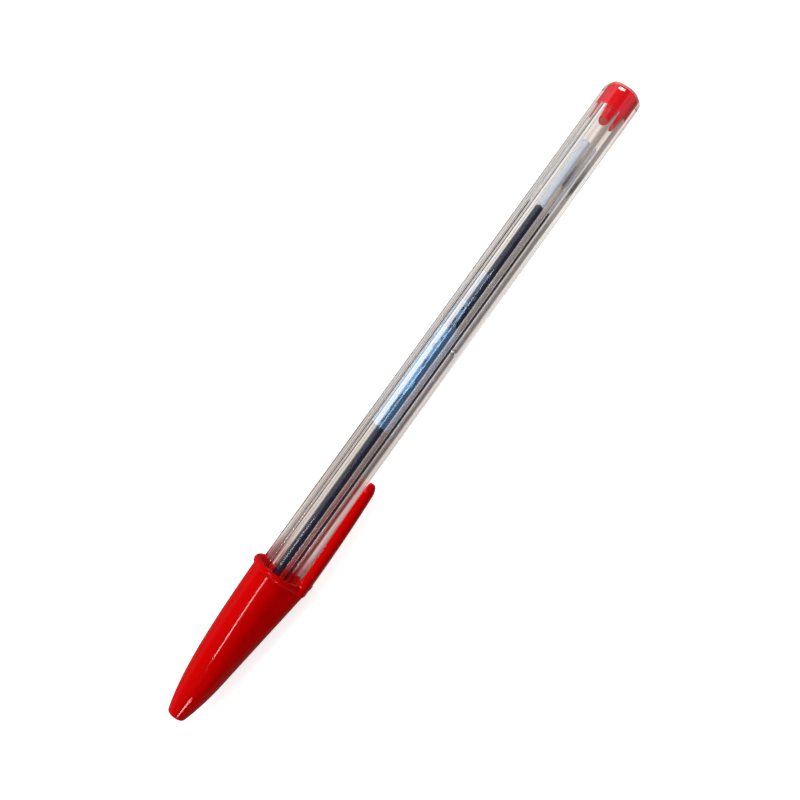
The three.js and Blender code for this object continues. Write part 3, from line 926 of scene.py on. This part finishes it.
def holder_plastic():
    """Off-white moulded plastic with a soft, slightly uneven surface."""
    mat, tree, shader = material("natural_plastic")
    cloud = noise(tree, 500, detail=4)
    tree.links.new(blend(tree, cloud, *HOLDER_WHITE), shader.inputs["Base Color"])
    tree.links.new(ramp(tree, cloud, 0.3, 0.45), shader.inputs["Roughness"])
    tree.links.new(bump(tree, cloud, 4e-6, 0.5), shader.inputs["Normal"])
    shader.inputs["Subsurface Weight"].default_value = 0.2
    shader.inputs["Subsurface Scale"].default_value = 0.0006
    return mat


def turned_metal(name, colours, roughness, ring_depth):
    """Metal with the fine rings that turning leaves round the axis."""
    mat, tree, shader = material(name)
    rings = noise(tree, 9000, (1, 0.02, 0.02), detail=3)
    tree.links.new(blend(tree, rings, *colours), shader.inputs["Base Color"])
    tree.links.new(ramp(tree, rings, roughness * 0.8, roughness * 1.3), shader.inputs["Roughness"])
    tree.links.new(bump(tree, rings, ring_depth, 0.5), shader.inputs["Normal"])
    shader.inputs["Metallic"].default_value = 1
    return mat


# Dressing of the frame

def dress(obj, mat, nodes, body):
    """Gives a piece its material and slot, the CAD node it replaces and the body it rides on."""
    obj.data.materials.clear()
    obj.data.materials.append(mat)
    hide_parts(nodes)
    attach(obj, body)


dress(barrel(), clear_plastic(), "barrel", "pen")
dress(plug(), plug_plastic(), "end_plug", "pen")
dress(tube(), tube_plastic(), "refill_tube", "pen")
dress(ink(), ink_liquid(), "ink_column", "pen")
dress(holder(), holder_plastic(), "tip_holder", "pen")
brass = turned_metal("turned_brass", BRASS, roughness=0.24, ring_depth=3e-6)
dress(point(), brass, "writing_point", "pen")
steel = turned_metal("polished_ball", STEEL, roughness=0.08, ring_depth=2e-7)
dress(ball(), steel, "writing_ball", "ball")
dress(cap(), cap_plastic(), "cap", "cap")


# Floor, on which the cap's lip and the tail's lowest edge rest

FLOOR_SIZE = 1600
FLOOR_DROP = 0.02
FLOOR_COLOUR = np.array((0.66, 0.61, 0.565))
GRAIN = 0.02

# Glow for direct rays, stronger far from the pen so that the floor ends in white
FLOOR_GLOW = 0.75
FAR_GLOW = 1.0
FAR_FROM = 180
FAR_TO = 420

# Painted shadow in the slit between the clip and the barrel, where the floor doesn't glow, as start
# and end of each fade
SHADE_X = (-118, -116, -94.5, -92.5)
SHADE_Y = (-4.6, -4.2, 1, 3)

# Floor as clear plastic shows it, as painted light and shadow: lit beyond the pen and dim in the pen's
# painted shadow on the clip's side, front to tail
LIT = ((0.82, 0.74, 0.69), (1.04, 1.0, 0.98))
DIM = ((0.20, 0.125, 0.135), (0.30, 0.265, 0.255))
FRONT_X = -112
TAIL_X = -30
LIT_Y = -0.5
DIM_Y = -2.5

# Painted shade on the dim side past the ink's end, and the painted patch of the ink's shadow there
DIM_END = (0.45, 0.39, 0.37)
DIM_END_X = (-28, -26)
INK_SHADOW = (0.04, 0.04, 0.06)
INK_SHADOW_X = (-21.2, -20.4, -18, -13)

# Painted red light and shade that the cap throws on the floor beside its mouth
RED_BOUNCE = (0.42, 0.07, 0.08)
RED_BOUNCE_SHARE = 0.8
RED_BOUNCE_FROM = 1
RED_BOUNCE_TO = 5

# Painted bright and dark lines standing in for the light that the barrel throws along itself, and the
# floor as gloss shows it
CAUSTIC_LOW = 0.8
CAUSTIC_HIGH = 1.2
IN_GLOSS = (0.13, 0.115, 0.11)
floor_front = (CAP_MOUTH - LIP_WIDTH / 2, -(CAP_MOUTH_RADIUS + LIP_HEIGHT))
floor_tail = (-TAIL_EDGE_RADIUS, -HALF_FLATS)


def floor_height(x):
    """Height of the floor, which slopes from the lip to the tail."""
    return line_at(x, floor_front, floor_tail)


def within(tree, place, rise_from, rise_to, fall_from, fall_to):
    """1 inside a stretch in millimetres and 0 outside it, with soft ends."""
    rise = fade(tree, place, 0, 1, rise_from, rise_to)
    return product(tree, rise, fade(tree, place, 1, 0, fall_from, fall_to))


def glow_left(tree, x, y):
    """Share of the floor's glow that is left, which is none between the clip and the barrel, so that a
    shadow is painted there.
    """
    # painted shadow: the floor's glow is taken away between clip and barrel
    shaded = product(tree, within(tree, x, *SHADE_X), within(tree, y, *SHADE_Y))
    return ramp(tree, shaded, 1, 0, 0, 1)


def floor_through(tree, x, y):
    """Colour of the floor as clear plastic shows it, with the pen's painted shadow and the cap's
    painted red light.
    """
    # painted shadow: the floor seen through the barrel is dim on the clip's side and under the ink
    along = fade(tree, x, 0, 1, FRONT_X, TAIL_X)
    dim = blend(tree, along, *DIM)
    dim = blend(tree, fade(tree, x, 0, 1, *DIM_END_X), dim, DIM_END)
    dim = blend(tree, within(tree, x, *INK_SHADOW_X), dim, INK_SHADOW)
    away = fade(tree, y, 0, 1, LIT_Y, DIM_Y, "SMOOTHSTEP")
    colour = blend(tree, away, blend(tree, along, *LIT), dim)
    # painted red light: the cap's red bounced onto the floor beside its mouth
    near_mouth = fade(tree, x, RED_BOUNCE_SHARE, 0, CAP_MOUTH + RED_BOUNCE_FROM, CAP_MOUTH + RED_BOUNCE_TO)
    return blend(tree, near_mouth, colour, RED_BOUNCE)


def floor_surface():
    """Pale floor that glows for direct rays. Clear plastic shows it in colours with painted shadow,
    painted red light and painted caustic lines, and gloss shows it as a plain colour.
    """
    mat, tree, shader = material("pale_floor")
    tree.nodes.remove(shader)
    grain = noise(tree, 60, detail=3)
    shade = blend(tree, grain, FLOOR_COLOUR * (1 - GRAIN), FLOOR_COLOUR * (1 + GRAIN))
    pale = node(tree, "ShaderNodeBsdfDiffuse", Color=shade)
    place = own_place(tree)
    at = parts(tree, place)
    x, y = at["X"], at["Y"]
    distance = node(tree, "ShaderNodeVectorMath", {"operation": "LENGTH"}, i0=place)
    far = fade(tree, distance.outputs["Value"], FLOOR_GLOW, FAR_GLOW, FAR_FROM, FAR_TO)
    strength = product(tree, by_ray(tree, 0, 0, 0, far), glow_left(tree, x, y))
    glow = node(tree, "ShaderNodeEmission", Color=(1, 1, 1, 1), Strength=strength)
    direct = node(tree, "ShaderNodeAddShader", i0=pale.outputs[0], i1=glow.outputs[0])
    tint = blend(tree, by_ray(tree, 0, 0, 1, 0), IN_GLOSS, floor_through(tree, x, y))
    # painted caustics: bright and dark lines on the floor seen through the barrel
    lines = noise(tree, 1400, (0.004, 1, 1), detail=1)
    seen = node(tree, "ShaderNodeEmission", Color=tint,
                Strength=ramp(tree, lines, CAUSTIC_LOW, CAUSTIC_HIGH, 0.4, 0.6))
    surface = node(tree, "ShaderNodeMixShader", i0=by_ray(tree, 0, 1, 1, 0),
                   i1=direct.outputs[0], i2=seen.outputs[0])
    tree.links.new(surface.outputs[0], tree.nodes["Material Output"].inputs["Surface"])
    return mat


def floor():
    """Square sheet under the pen."""
    half = FLOOR_SIZE / 2
    front = CAP_TIP / 2 - half
    back = CAP_TIP / 2 + half
    corners = [(front, -half), (back, -half), (back, half), (front, half)]
    obj = piece("floor", [(x, y, floor_height(x) - FLOOR_DROP) for x, y in corners], [(0, 1, 2, 3)])
    obj.data.materials.append(floor_surface())


floor()


# Studio, in a room that is white to direct rays and darker to the other kinds

# Brightness for rays that light, rays off gloss, rays through clear plastic and direct rays
CEILING = (0.3, 0.06, 0.6, 1)
WALLS = (0.5, 0.2, 0.8, 1)
DARK_SIDE = (0.15, 0.15, 0.15, 1)

# Directions at which walls turn into ceiling, and the dark side behind the clip into the rest
CEILING_RISE = (0.1, 0.5)
DARK_SIDE_END = (-0.3, 0.15)


def world():
    """Room as brightness by direction and kind of ray."""
    made = bpy.data.worlds.new("studio")
    bpy.context.scene.world = made
    made.use_nodes = True
    tree = made.node_tree
    towards = parts(tree, node(tree, "ShaderNodeTexCoord").outputs["Generated"])
    walls = by_ray(tree, *WALLS)
    ceiling = by_ray(tree, *CEILING)
    height = ramp(tree, towards["Z"], walls, ceiling, *CEILING_RISE, "SMOOTHSTEP")
    side = ramp(tree, towards["Y"], by_ray(tree, *DARK_SIDE), 1.0, *DARK_SIDE_END, "SMOOTHSTEP")
    tree.links.new(product(tree, height, side), tree.nodes["Background"].inputs["Strength"])
    tree.nodes["Background"].inputs["Color"].default_value = (1, 1, 1, 1)


def facing(place, right, up, back):
    """Placement in metres, from a place in millimetres and the directions of its own axes."""
    turn = Matrix((right, up, back)).transposed().to_4x4()
    return Matrix.Translation(Vector(place) * MM) @ turn


def lamp(name, place, target, size, radiance, colour, long_side=(1, 0, 0), seen="gloss"):
    """Rectangular lamp at a place in millimetres, with its long side's direction and its radiance.
    It is seen in glossy surfaces, through clear plastic, or in neither, where it only lights."""
    data = bpy.data.lights.new(name, "AREA")
    data.shape = "RECTANGLE"
    data.size = size[0] * MM
    data.size_y = size[1] * MM
    data.energy = radiance * math.pi * data.size * data.size_y
    data.color = colour
    obj = bpy.data.objects.new(name, data)
    obj.visible_glossy = "gloss" in seen
    obj.visible_transmission = "through" in seen
    bpy.context.scene.collection.objects.link(obj)
    back = (Vector(place) - Vector(target)).normalized()
    side = Vector(long_side)
    right = (side - back * side.dot(back)).normalized()
    obj.matrix_world = facing(place, right, back.cross(right), back)


WHITE = (1, 1, 1)
COOL = (0.26, 0.58, 1)
STRIP_SIDE = (0.7, 0.714, 0)
AIM = (-60, 0, 0)
TAIL_AIM = (0, 0, 0)
PANE_PLACE = (277.7, 76, 500)
PANE_PITCH = (1.8, 2.2)
PANE_SIZE = (1.5, 1.8)
PANE_RADIANCE = 22

world()

# Long strip, cool window with paler parts beside it, lamps that only light, and small panes
lamp("strip", (-335, 162, 575), (-110, 0, 0), (385, 34), 20, (1, 0.99, 0.97), STRIP_SIDE)
lamp("window", (-35, 157, 500), AIM, (108, 160), 9, COOL, seen="gloss, through")
lamp("window_sill", (-35, 66, 500), AIM, (108, 22), 2.4, COOL)
lamp("window_fade", (33, 157, 500), AIM, (28, 160), 5, (0.3, 0.62, 1))
lamp("window_edge", (63, 157, 500), AIM, (32, 160), 2.5, (0.35, 0.66, 1))
lamp("window_end", (52, 152, 500), AIM, (66, 110), 7, (0.5, 0.75, 1), seen="through")
lamp("front_window", (-215, 150, 500), AIM, (50, 100), 6, (0.8, 0.9, 1), seen="through")
lamp("sky", (-51, 460, 500), AIM, (300, 260), 11, (1, 0.98, 0.95), seen="neither")
lamp("low_front", (-760, -230, 420), (-140, 0, 0), (190, 150), 12, WHITE)
lamp("tail_window", (600, 60, 350), TAIL_AIM, (150, 170), 14, WHITE, seen="neither")
for column in range(2):
    for row in range(3):
        x = PANE_PLACE[0] + PANE_PITCH[0] * column
        y = PANE_PLACE[1] + PANE_PITCH[1] * row
        place = (x, y, PANE_PLACE[2])
        lamp(f"pane_{column}_{row}", place, TAIL_AIM, PANE_SIZE, PANE_RADIANCE, WHITE)


# Camera, at the photograph's place: close above the pen and a little to the clip's side

IMAGE_SIZE = 800
FOCAL_PIXELS = 740
SENSOR_WIDTH = 36
NEAREST = 0.005
FARTHEST = 20
CAMERA_PLACE = Vector((-79.219, -21.464, 142.640))
CAMERA_AIM = Vector((-74.849, 0.441, 0))
CAMERA_ROLL = math.radians(54.125)


def camera():
    """Camera whose roll turns the pen from level to its slant in the picture."""
    data = bpy.data.cameras.new("camera")
    data.sensor_width = SENSOR_WIDTH
    data.lens = FOCAL_PIXELS / IMAGE_SIZE * SENSOR_WIDTH
    data.clip_start = NEAREST
    data.clip_end = FARTHEST
    obj = bpy.data.objects.new("camera", data)
    bpy.context.scene.collection.objects.link(obj)
    back = (CAMERA_PLACE - CAMERA_AIM).normalized()
    level = (Vector((1, 0, 0)) - back * back.x).normalized()
    rise = back.cross(level)
    right = math.cos(CAMERA_ROLL) * level - math.sin(CAMERA_ROLL) * rise
    up = math.sin(CAMERA_ROLL) * level + math.cos(CAMERA_ROLL) * rise
    obj.matrix_world = facing(CAMERA_PLACE, right, up, back)
    bpy.context.scene.camera = obj


camera()
bpy.context.scene.view_settings.view_transform = "Standard"
